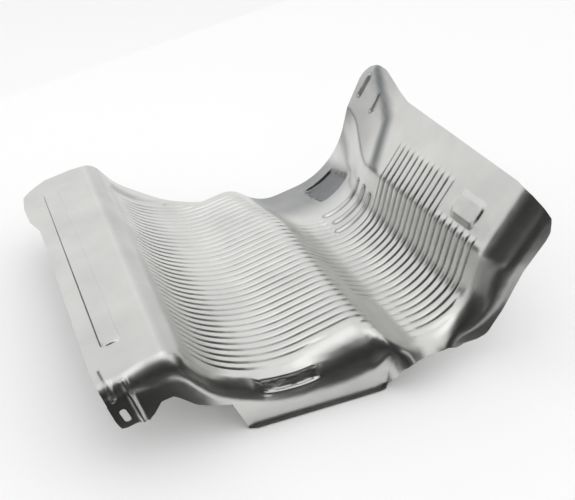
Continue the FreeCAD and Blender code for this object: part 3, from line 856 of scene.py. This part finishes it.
# %% Surface of the sheet
rough = nodes.new("ShaderNodeMapRange")
rough.inputs["To Min"].default_value = 0.24
rough.inputs["To Max"].default_value = 0.36
links.new(smudge.outputs["Fac"], rough.inputs["Value"])
links.new(rough.outputs["Result"], skin.inputs["Roughness"])
dents = nodes.new("ShaderNodeTexNoise")
dents.inputs["Scale"].default_value = 22.0
dents.inputs["Detail"].default_value = 2.0
links.new(coords.outputs["Object"], dents.inputs["Vector"])
lines = nodes.new("ShaderNodeMapping")
lines.inputs["Scale"].default_value = (900.0, 14.0, 14.0)
links.new(coords.outputs["Object"], lines.inputs["Vector"])
rolled = nodes.new("ShaderNodeTexNoise")
rolled.inputs["Scale"].default_value = 1.0
rolled.inputs["Detail"].default_value = 3.0
links.new(lines.outputs["Vector"], rolled.inputs["Vector"])
soft_bump = nodes.new("ShaderNodeBump")
soft_bump.inputs["Strength"].default_value = 0.35
soft_bump.inputs["Distance"].default_value = 0.004
links.new(dents.outputs["Fac"], soft_bump.inputs["Height"])
fine_bump = nodes.new("ShaderNodeBump")
fine_bump.inputs["Strength"].default_value = 0.08
fine_bump.inputs["Distance"].default_value = 0.0003
links.new(rolled.outputs["Fac"], fine_bump.inputs["Height"])
links.new(soft_bump.outputs["Normal"], fine_bump.inputs["Normal"])
links.new(fine_bump.outputs["Normal"], skin.inputs["Normal"])
print("nodes in the finish", len(nodes))

# %% [markdown]
# ## Studio
# The photograph has a white ground with no visible floor line. A pale floor and a white world give that.
# Metal only shows what it reflects, so photographers stand black cards round it to draw its shape.
# Tall cards stand in front and to the right, each with a paler card below it, and a low one to the left.
# The others lie on the floor, before the tab, the hump and the side wall, and behind the rear corner.
# The cards are seen in reflections only.

# %% Floor and cards
BLACK = 0.01
DARK_GREY = 0.05
FLOOR_SHADE = 0.96
FLOOR_WIDE = 12.0
FLOOR_GAP = 1.5 * MM
PAINT_ROUGH = 0.9


def flat_piece(name, mid, across, up, shade):
    mesh = bpy.data.meshes.new(name)
    shaping = bmesh.new()
    bmesh.ops.create_grid(shaping, x_segments=1, y_segments=1, size=0.5)
    for vert in shaping.verts:
        vert.co = Vector(mid) + Vector(across) * vert.co.x + Vector(up) * vert.co.y
    shaping.to_mesh(mesh)
    shaping.free()
    piece = bpy.data.objects.new(name, mesh)
    bpy.context.scene.collection.objects.link(piece)
    paint = bpy.data.materials.new(name + "_paint")
    paint.use_nodes = True
    coat = paint.node_tree.nodes["Principled BSDF"]
    coat.inputs["Base Color"].default_value = (shade, shade, shade, 1.0)
    coat.inputs["Roughness"].default_value = PAINT_ROUGH
    mesh.materials.append(paint)
    return piece


def black_card(name, mid, across, up, shade=BLACK):
    card = flat_piece(name, mid, across, up, shade)
    card.visible_camera = False
    card.visible_diffuse = False
    card.visible_shadow = False


floor_z = cad_box[0][2] - FLOOR_GAP
card_z = floor_z + MM
flat_piece("floor", (0.0, 0.0, floor_z), (FLOOR_WIDE, 0.0, 0.0), (0.0, FLOOR_WIDE, 0.0), FLOOR_SHADE)
black_card("front_card", (-0.524, -1.245, 2.48), (4.6, -1.94, 0.0), (0.0, 0.0, 3.84))
black_card("front_low_card", (-0.524, -1.245, 0.28), (4.6, -1.94, 0.0), (0.0, 0.0, 0.56), DARK_GREY)
black_card("right_card", (1.6, -0.85, 1.45), (0.0, 2.3, 0.0), (0.0, 0.0, 1.5))
black_card("right_low_card", (1.6, -0.85, 0.35), (0.0, 2.3, 0.0), (0.0, 0.0, 0.7), DARK_GREY)
black_card("left_card", (-0.80, 0.55, 0.25), (0.0, 0.9, 0.0), (0.0, 0.0, 0.5))
black_card("tab_card", (-0.39, -0.94, card_z), (0.54, 0.0, 0.0), (0.0, 1.32, 0.0))
black_card("hump_card", (0.09, -0.66, card_z), (0.26, 0.0, 0.0), (0.0, 0.70, 0.0))
black_card("wall_near_card", (0.60, -0.315, card_z), (0.80, 0.0, 0.0), (0.0, 0.08, 0.0))
black_card("wall_far_card", (0.60, -1.06, card_z), (0.80, 0.0, 0.0), (0.0, 1.30, 0.0))
black_card("ear_card", (-2.7, 3.6, card_z), (-4.2, 5.6, 0.0), (3.2, 2.4, 0.0))
print("floor at", round(floor_z, 4))

# %% [markdown]
# ## Light
# An even white world lights the sheet from all sides and fills its reflections with white.
# One large soft lamp above adds a gentle shadow on the floor. The view transform stays plain,
# so white comes out white.

# %% World
world = bpy.data.worlds.new("studio")
bpy.context.scene.world = world
world.use_nodes = True
sky = world.node_tree.nodes["Background"]
sky.inputs["Color"].default_value = (1.0, 1.0, 1.0, 1.0)
sky.inputs["Strength"].default_value = 1.0
print("world", world.name)

# %% Lamps


def soft_lamp(name, place, aim, size, power):
    data = bpy.data.lights.new(name, "AREA")
    data.shape = "DISK"
    data.size = size
    data.energy = power
    lamp = bpy.data.objects.new(name, data)
    bpy.context.scene.collection.objects.link(lamp)
    lamp.location = place
    lamp.rotation_euler = (Vector(aim) - Vector(place)).to_track_quat("-Z", "Y").to_euler()


soft_lamp("key", place=(-0.2, 0.2, 2.0), aim=(0.0, 0.0, 0.1), size=1.4, power=2.5)
bpy.context.scene.view_settings.view_transform = "Standard"
